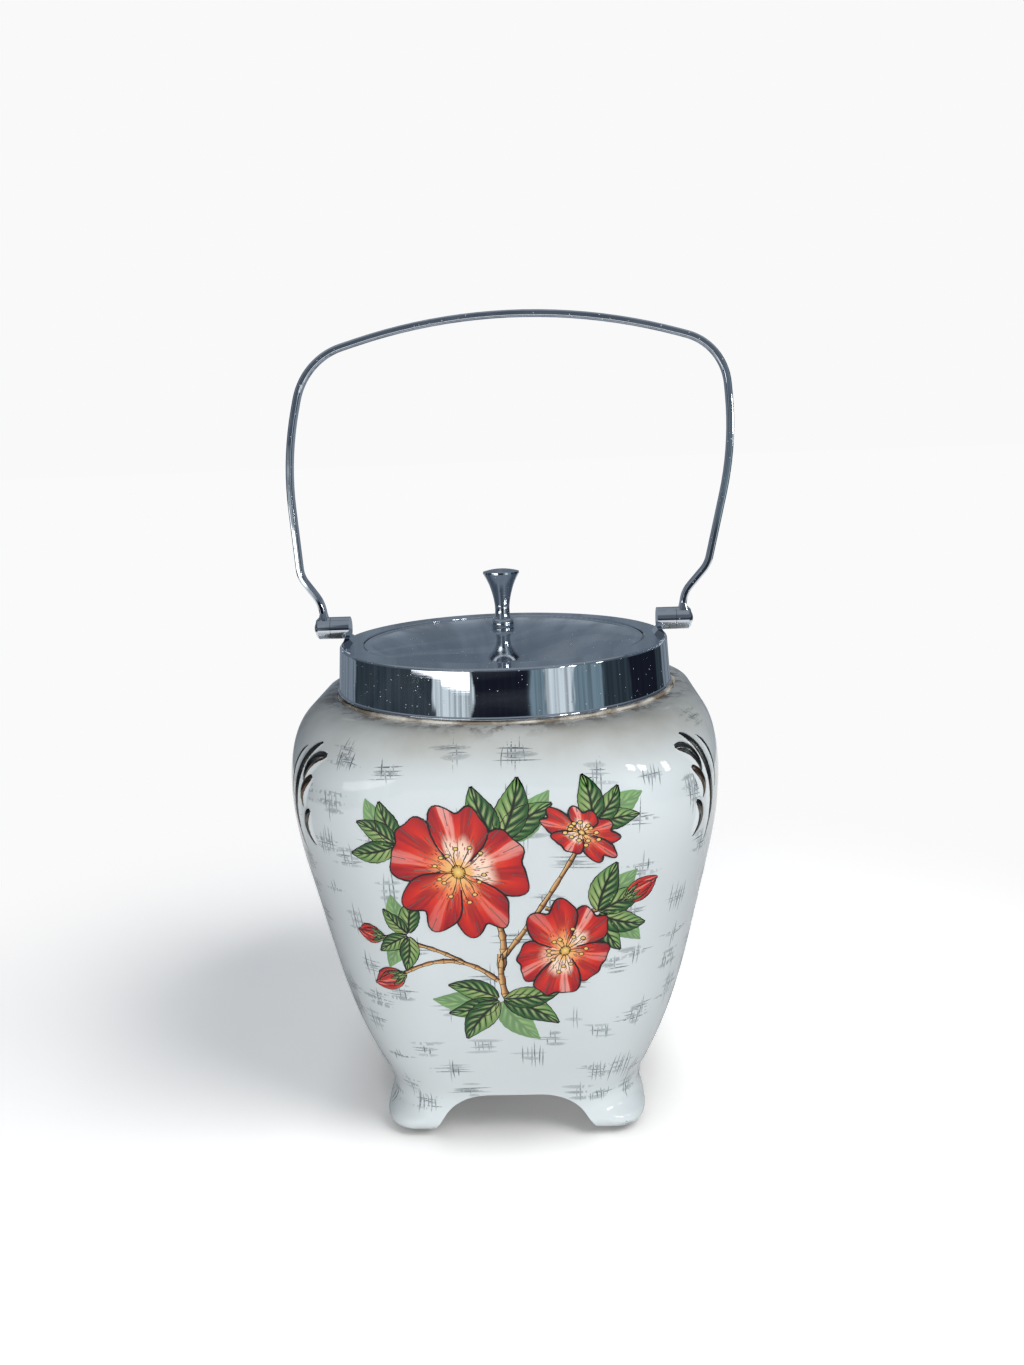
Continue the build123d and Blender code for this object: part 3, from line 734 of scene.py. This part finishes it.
class Spray:
    """A printed spray in the making, each of its grids a little over the last.

    Layers lie a few hundredths of a millimetre over each other, in the order that they
    are drawn; every outline is a ribbon along the edge of the grid that it bounds.
    """

    def __init__(self):
        self.centre, self.normal = on_pot(np.array([0, -OUTSIDE, SPRAY_HEIGHT]) * MM)
        self.layer = FIRST_LAYER
        self.twigs, self.leaves, self.petals, self.hearts, self.lines = [], [], [], [], []

    def lay(self, pile, drawing, along, across, tone, rise=0.0):
        """Wraps one grid of the drawing on the pot at the present layer."""
        lift = np.full(drawing.shape[:-1], self.layer + rise)
        pile.append((wrapped(self.centre, self.normal, drawing, lift), along, across, tone))

    def outline(self, path, half_width, tone=1.0, rise=KEY_RISE):
        """A key line along a path, of a breadth that swells and thins."""
        s = np.linspace(0, 1, len(path))
        swell = half_width * (0.6 + 0.4 * np.sin(7 * s + 1) ** 2)
        self.lay(self.lines, ribbon(path, swell), s[:, None], np.array([-1, 1]), tone, rise)

    def edge(self, grid, first, last):
        """Key lines of these half widths along the two long edges of a grid."""
        self.outline(grid[:, 0], first)
        self.outline(grid[:, -1], last)

    def twig(self, points, half_width):
        """A twig that tapers and has knots where sin(19 s)^8 is high."""
        path = curved(points, 30)
        s = np.linspace(0, 1, 30)
        knots = half_width * (1 + 0.4 * np.sin(19 * s) ** 8) * (1.1 - 0.3 * s)
        body = ribbon(path, knots, 3)
        self.lay(self.twigs, body, s[:, None], np.linspace(-1, 1, 3), 1.0)
        self.edge(body, 0.13, 0.2)
        self.layer += LAYER

    def leaf(self, base, degrees, length, tone):
        """A blade whose half breadth at share s of its bowed midrib is w sin(pi s^0.8)^0.85."""
        way = pointing(math.radians(degrees))
        bow = random.choice((-1, 1)) * random.uniform(0.06, 0.14) * length
        middle = base + way * length / 2 + bow * square_to(way)
        path = curved([base + way * 0.05 * length, middle, base + way * length], 30)
        s, t = np.linspace(0, 1, 30), np.linspace(-1, 1, 9)
        teeth = 1 + 0.06 * ((s * 8) % 1.0)
        breadth = 0.22 * length * np.sin(math.pi * np.clip(s, 0.01, 0.985) ** 0.8) ** 0.85 * teeth
        blade = ribbon(path, breadth, len(t))
        self.lay(self.leaves, blade, s[:, None], t, tone)
        if tone > 0.5:
            self.edge(blade, 0.17, 0.21)
            self.outline(path, 0.16)
        self.layer += LAYER

    def whorl(self, base, headings, length):
        """Leaves from one place, over paler ones without outlines that lie behind them."""
        base = np.array(base)
        for degrees in headings[1::2]:
            self.leaf(base, degrees - 24 + random.uniform(-5, 5), 1.1 * length, 0.1)
        for degrees in headings:
            self.leaf(base, degrees, length * random.uniform(0.85, 1.08), 1.0)

    def bud(self, place, degrees, length):
        """Three furled petals of half breadth w sin(pi s^0.75)^0.8, held by three sepals."""
        place = np.array(place)
        way = pointing(math.radians(degrees))
        side = square_to(way)
        s, t = np.linspace(0, 1, 20), np.linspace(-1, 1, 11)
        fullness = 0.22 * length * np.sin(math.pi * np.clip(s, 0.02, 0.98) ** 0.75) ** 0.8
        for lean, share in ((-0.5, 1.0), (0.5, 0.92), (0.0, 0.8)):
            middle = place + way * length * 0.5 + side * lean * 5
            path = curved([place, middle, place + way * length * share])
            body = ribbon(path, fullness, len(t))
            self.lay(self.petals, body, 0.35 + 0.6 * s[:, None], t, 0.6)
            self.edge(body, 0.17, 0.2)
            self.layer += LAYER
        for lean in (-0.9, 0.0, 0.9):
            middle = place + way * length * 0.2 + side * lean * 2
            path = curved([place - way, middle, place + way * length * 0.42 + side * lean * 2.6])
            sepal = ribbon(path, 0.95 * np.sin(math.pi * np.clip(s, 0.03, 0.98) ** 0.6), 5)
            self.lay(self.leaves, sepal, s[:, None], np.linspace(-1, 1, 5), 1.0)
            self.edge(sepal, 0.12, 0.14)
            self.layer += LAYER

    def blossom(self, middle, radius, turn, tip, tipped):
        """Five petals, with creases from the throat outwards and from the rim inwards."""
        middle = np.array(middle)
        petals, r, t, squash = petal_fans(middle, radius, turn, tip, tipped)
        for petal in petals:
            self.lay(self.petals, petal, r, t, random.uniform(0.3, 1.0))
            self.outline(petal[-1], PETAL_KEY)
            for crease in (6, 14, 22):
                self.outline(petal[3:10, crease], 0.13, 0.8)
            for crease in (4, 10, 18, 25):
                self.outline(petal[: random.integers(8, 11) : -1, crease], 0.15, 0.9)
            self.layer += 2 * LAYER
        self.heart(middle, radius, squash)

    def heart(self, middle, radius, squash):
        """A gold boss with a ring of stamens, each a hair and an anther."""
        around = np.linspace(0, 2 * math.pi, 25)
        rings = np.linspace(0.02, 1, 6)
        disc = rings[:, None, None] * np.stack([np.cos(-around), np.sin(-around)], -1)
        boss = disc * radius * 0.1 @ squash.T + middle
        self.lay(self.hearts, boss, rings[::-1, None], 0.0, 1.0)
        self.outline(boss[-1], 0.13)
        self.layer += BOSS_LAYER
        angles = np.linspace(0, 2 * math.pi, STAMENS, endpoint=False)
        for angle in angles + random.uniform(-0.2, 0.2, STAMENS):
            way = radius * pointing(angle)
            bent = random.uniform(-0.1, 0.1) * square_to(way)
            reach = random.uniform(0.26, 0.46)
            hair = curved([way * 0.07, way * reach * 0.6 + bent, way * reach], 7) @ squash.T + middle
            self.outline(hair, 0.15)
            anther = disc[:, ::4] * (0.8, 0.62) + hair[-1]
            self.lay(self.hearts, anther, 1 - 0.7 * rings[:, None], 0.0, 1.0, ANTHER_RISE)
            self.outline(anther[-1], 0.15, 1.0, ANTHER_KEY_RISE)
        self.layer += STAMENS_LAYER


def rose_spray():
    """The spray on the front: twigs, then leaves, buds and blossoms, with their key lines."""
    spray = Spray()
    for *points, half_width in TWIGS:
        spray.twig(points, half_width)
    for whorl in WHORLS:
        spray.whorl(*whorl)
    for bud in BUDS:
        spray.bud(*bud)
    for blossom in BLOSSOMS:
        spray.blossom(*blossom)
    drawn_piece("spray_twigs", under_glaze("tan_litho_colour", twig_tan), spray.twigs)
    drawn_piece("spray_leaves", under_glaze("green_litho_colours", leaf_green), spray.leaves)
    drawn_piece("spray_petals", under_glaze("coral_litho_colours", rose_petals), spray.petals)
    drawn_piece("spray_hearts", under_glaze("yellow_litho_colour", stamen_gold), spray.hearts)
    drawn_piece("spray_key_lines", under_glaze("brown_key_line", key_line), spray.lines)


# ------------------------------------------------------------- dressing the frame
dress(
    chrome_plate("bright_chromium_plate", 0.012, 0.06, 0.04),
    "collar",
    "left_lug",
    "right_lug",
    "left_hinge_pin",
    "right_hinge_pin",
    "bail_handle",
    "left_bail_knuckle",
    "right_bail_knuckle",
    "knob",
)
dress(chrome_plate("handled_chromium_plate", 0.05, 0.16, 0.13), "lid_plate", "lid_skirt")
dress(under_glaze("glazed_earthenware", bare_ware), "jar_body")
dress(plaster_of_paris(), "bedding_plaster")
dress(turned_brass(), "knob_washer", "knob_screw")
squeezed_plaster()
hatched_ground()
corner_ornaments()
rose_spray()


# -------------------------------------------------------------- studio and camera
# The room that mirrors see: each stretch of its round wall starts at an azimuth in
# degrees, where 0 is straight in front of the jar and positive turns towards +X.
PALE_WALL = "#8f9aa6"
PANELLING = "#3a464e"
WINDOW = "#f4fdff"
PIER = "#1c1e2a"
CURTAIN = "#869ca6"
ROOM = [
    (-180, PALE_WALL),
    (-114, PANELLING),
    (-43, WINDOW),
    (-19, PIER),
    (17, CURTAIN),
    (27, WINDOW),
    (46, CURTAIN),
    (66, PANELLING),
    (90, PIER),
    (122, PANELLING),
    (136, PALE_WALL),
]
WALL_EDGE = 0.6  # degrees over which one stretch turns into the next
WALL_WAVER = 0.22  # radians by which the stretches' edges wander, in waves of 40 to 90 mm
WALL_RADIUS, WALL_HEIGHT, WALL_SUNK = 0.6, 1.6, 0.01  # metres, the last under the table
FRIEZE_FROM, FRIEZE_TO = 0.13, 0.28  # metres up over which the wall turns greyer
COVE_FROM, COVE_TO = 0.5, 0.8  # and over which it turns into the pale ceiling
WALL_GLOW = 0.45  # share of its brightness that the wall lends to matt surfaces
# The table's linear colour to the camera, away from the jar and close in by it, the
# second darker as painted shade of the jar.  The first is over 1, so that lamps that are
# plain for the jar turn the table white.
TABLE_OPEN = (1.84, 1.80, 1.765, 1.0)
TABLE_PAINTED_SHADE = (0.72, 0.705, 0.69, 1.0)
TABLE_THROWN, TABLE_MIRRORED = "#b6b4b1", "#ffffff"  # to matt surfaces and in mirrors
PAINTED_SHADE_REACH = 0.034  # metres from the jar within which painted shade darkens the table
TABLE_RADIUS, TABLE_GAP = 40.0, 0.0001  # metres, the gap between it and the feet
FLOOR_NEAR, FLOOR_FAR = 0.15, 0.34  # metres over which the table fades into the surround
TABLE_FADED, SURROUND = "#fafafa", "#f9f9f9"


def settled(name, material):
    """The piece of the stage made last, with its name, its finish and its place in its mesh."""
    made = bpy.context.object
    made.name = name
    made.data.transform(made.matrix_world)
    made.matrix_world.identity()
    made.data.materials.append(material)
    return made


def white_table():
    """A matt white table that keeps the jar's shadow and fades into the surround.

    It is brighter to the camera than in the light that it throws back on the jar, and
    painted darker, as shade, where the jar's foot closes it in.
    """
    made, tree = new_material("white_table")
    where = node(tree, "TexCoord", out="Object")
    far = node(tree, "VectorMath", where, operation="LENGTH", out="Value")
    camera_ray = node(tree, "LightPath", out="Is Camera Ray")
    glossy_ray = camera_ray.node.outputs["Is Glossy Ray"]
    seen = node(tree, "Math", camera_ray, glossy_ray, operation="MAXIMUM")
    # Painted shade: the table's colour darkens where the jar closes it in, by ambient occlusion.
    clear_of_painted_shade = node(tree, "AmbientOcclusion", Distance=PAINTED_SHADE_REACH, out="AO")
    sheet = node(tree, "Mix", Factor=clear_of_painted_shade, A=TABLE_PAINTED_SHADE, B=TABLE_OPEN, **BLEND)
    thrown = node(tree, "Mix", Factor=glossy_ray, A=TABLE_THROWN, B=TABLE_MIRRORED, **BLEND)
    sheet = node(tree, "Mix", Factor=camera_ray, A=thrown, B=sheet, **BLEND)
    lit = node(tree, "BsdfDiffuse", sheet)
    white = node(tree, "Emission", TABLE_FADED, seen)
    fade = node(tree, "MapRange", far, FLOOR_NEAR, FLOOR_FAR, **SMOOTH)
    node(tree, "OutputMaterial", node(tree, "MixShader", fade, lit, white))
    bpy.ops.mesh.primitive_circle_add(
        vertices=96, radius=TABLE_RADIUS, fill_type="NGON", location=(0, 0, -TABLE_GAP)
    )
    table = settled("table", made)


def studio_walls():
    """A room round the table that only mirrors and light see: a tube coloured by azimuth."""
    made, tree = new_material("studio_walls")
    where = node(tree, "TexCoord", out="Object")
    x = node(tree, "SeparateXYZ", where)
    y, z = x.node.outputs["Y"], x.node.outputs["Z"]
    front = node(tree, "Math", y, -1.0, **PRODUCT)
    turn = node(tree, "Math", x, front, operation="ARCTAN2")
    wavy = node(tree, "Mapping", where, Scale=(11, 11, 24))
    wavy = node(tree, "TexNoise", wavy, Scale=1.0, Detail=3.0)
    turn = node(tree, "Math", wavy, WALL_WAVER, turn, operation="MULTIPLY_ADD")
    middle = WALL_WAVER / 2
    share = node(tree, "MapRange", turn, middle - math.pi, middle + math.pi)
    stops = [(0.0, ROOM[0][1])]
    for (_, before), (azimuth, after) in zip(ROOM, ROOM[1:]):
        place = (180 + azimuth) / 360
        stops += [(place - WALL_EDGE / 720, before), (place + WALL_EDGE / 720, after)]
    wall = node(tree, "ValToRGB", share, stops=[*stops, (1.0, ROOM[-1][1])])
    # Upright folds of curtain, 20 to 40 mm across, darken the wall here and there.
    drape = node(tree, "Mapping", where, Scale=(45, 45, 3))
    drape = node(tree, "TexNoise", drape, Scale=1.0, Detail=4.0)
    drape = node(tree, "MapRange", drape, 0.6, 0.4, 0.0, 0.5)
    wall = node(tree, "Mix", Factor=drape, A=wall, B="#20262e", **BLEND)
    frieze = node(tree, "MapRange", z, FRIEZE_FROM, FRIEZE_TO, 0.0, 0.7, **SMOOTH)
    wall = node(tree, "Mix", Factor=frieze, A=wall, B="#67727f", **BLEND)
    cove = node(tree, "MapRange", z, COVE_FROM, COVE_TO, **SMOOTH)
    wall = node(tree, "Mix", Factor=cove, A=wall, B="#949ca4", **BLEND)
    matt_ray = node(tree, "LightPath", out="Is Diffuse Ray")
    strength = node(tree, "MapRange", matt_ray, 0.0, 1.0, 1.0, WALL_GLOW)
    node(tree, "OutputMaterial", node(tree, "Emission", wall, strength))
    bpy.ops.mesh.primitive_cylinder_add(
        vertices=128,
        radius=WALL_RADIUS,
        depth=WALL_HEIGHT,
        location=(0, 0, WALL_HEIGHT / 2 - WALL_SUNK),
    )
    walls = settled("studio_walls", made)
    walls.visible_camera = False
    walls.visible_shadow = False


# Lamps: name, place in metres, breadth and height, watts, and whether gloss alone sees it.
LAMPS = [
    ("key", (0.66, -0.42, 0.98), (0.6, 0.6), 6.9, False),
    ("front_fill", (0.0, -1.0, 0.18), (0.6, 0.3), 7.9, False),
    ("back_fill", (-0.35, 1.0, 0.14), (0.5, 0.25), 4.4, False),
    ("left_window_0", (-0.385, -0.345, 0.155), (0.2, 0.06), 0.085, True),
    ("left_window_1", (-0.25, -0.455, 0.145), (0.17, 0.05), 0.055, True),
    ("right_window_0", (0.31, -0.4, 0.25), (0.045, 0.05), 0.12, True),
    ("right_window_1", (0.36, -0.35, 0.25), (0.045, 0.05), 0.12, True),
    ("far_window", (0.46, -0.21, 0.24), (0.04, 0.08), 0.1, True),
]


def lamp(name, place, size, watts, glossy):
    """A rectangular lamp that faces the jar's foot: soft light, or a pane that gloss alone sees."""
    data = bpy.data.lights.new(name, "AREA")
    data.shape = "RECTANGLE"
    data.size, data.size_y = size
    data.energy = watts
    made = bpy.data.objects.new(name, data)
    made.location = place
    made.rotation_euler = (-Vector(place)).to_track_quat("-Z", "Y").to_euler()
    made.visible_camera = False
    made.visible_glossy = glossy
    made.visible_diffuse = not glossy
    bpy.context.scene.collection.objects.link(made)


white_table()
studio_walls()
for row in LAMPS:
    lamp(*row)

world = bpy.data.worlds.new("pale_surround")
bpy.context.scene.world = world
world.use_nodes = True
world.node_tree.nodes.clear()
node(world.node_tree, "OutputWorld", node(world.node_tree, "Background", SURROUND))

# The camera is held 0.35 m from the jar's axis, a little to the right of straight in
# front, and looks down by about twelve degrees.
CAMERA_PLACE = (0.01397, -0.35192, 0.22114)
CAMERA_TURN = (77.781, 1.974, 1.456)  # degrees about X, Y and Z
SENSOR_WIDTH, LENS = 36.0, 27.69  # millimetres

eye = bpy.data.cameras.new("camera")
eye.sensor_width = SENSOR_WIDTH
eye.lens = LENS
eye.clip_start = 0.01
eye.clip_end = 200.0
camera = bpy.data.objects.new("camera", eye)
camera.location = CAMERA_PLACE
camera.rotation_euler = [math.radians(degrees) for degrees in CAMERA_TURN]
bpy.context.scene.collection.objects.link(camera)
bpy.context.scene.camera = camera
bpy.context.scene.view_settings.view_transform = "Standard"
